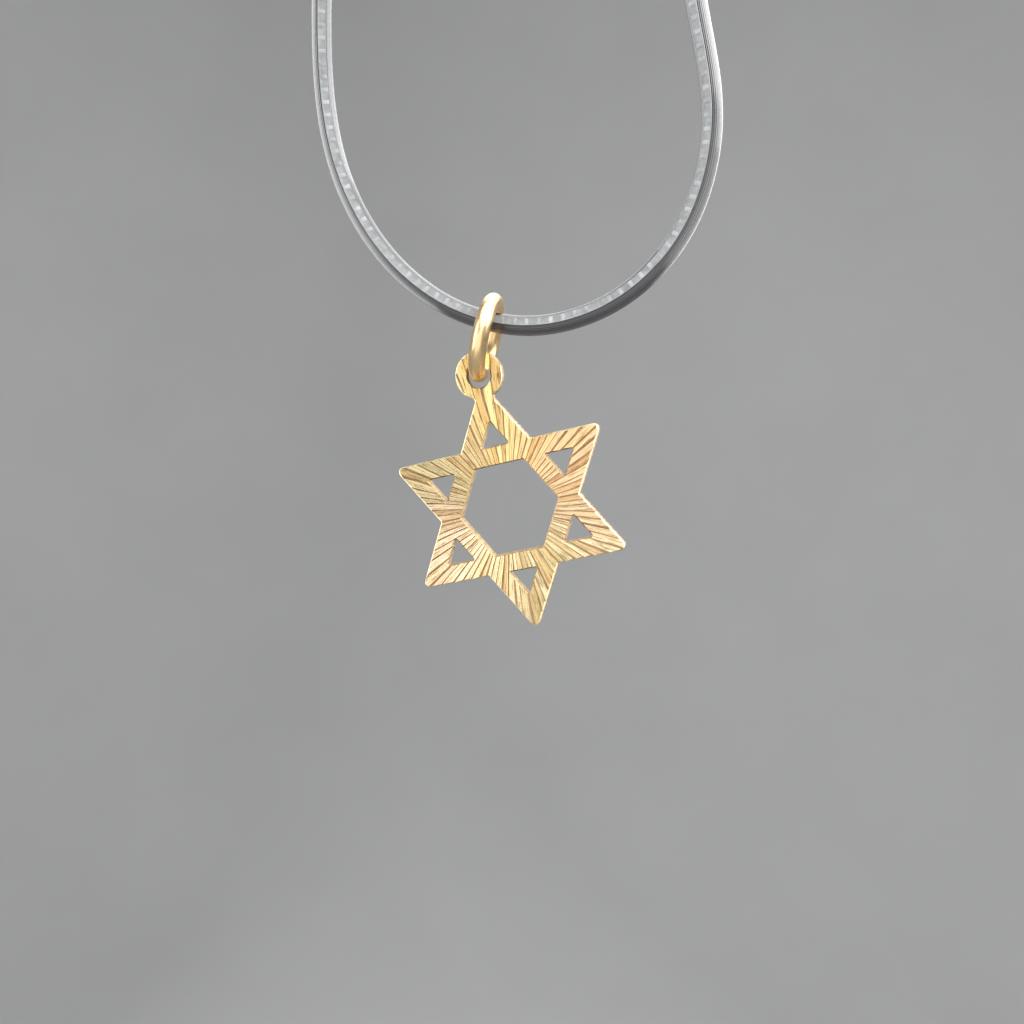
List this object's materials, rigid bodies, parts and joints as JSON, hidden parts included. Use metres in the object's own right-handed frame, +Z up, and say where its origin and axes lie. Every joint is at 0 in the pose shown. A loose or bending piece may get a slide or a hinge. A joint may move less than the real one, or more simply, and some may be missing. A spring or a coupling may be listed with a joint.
{
  "type": "pendant on a cord necklace",
  "caption": "Openwork six-pointed star pendant with an eyelet, on a round-wire jump ring that swings on a black cord necklace, closed by a barrel clasp.",
  "frame": {"origin": "the point under the middle of the clasp where the necklace hangs on a peg", "axes": "+Z up, towards the clasp; -Y the side that the star faces; +X to the right as seen from the front"},
  "size_m": [0.0301, 0.0066, 0.209],
  "materials": {
    "star_gold": "gold tone, cut with fine bright rays",
    "ring_gold": "gold tone, polished wire with light wear",
    "cord": "black, glossy, finely ribbed along its length",
    "clasp_gold": "gold tone, polished"
  },
  "bodies": {
    "necklace": {"neck_cord": "cord", "clasp": "clasp_gold"},
    "ring": {"jump_ring": "ring_gold"},
    "pendant": {"star_pendant": "star_gold"}
  },
  "joints": [
    {"name": "ring_swing", "type": "hinge", "parent": "necklace", "child": "ring", "pos_m": [-0.00148, 0, -0.1832], "axis": [0.9714, 0, -0.2373], "range_deg": [-90, 90]},
    {"name": "pendant_swing", "type": "hinge", "parent": "ring", "child": "pendant", "pos_m": [-0.0023, 0, -0.18706], "axis": [0, 1, 0], "range_deg": [-36, 63]}
  ]
}
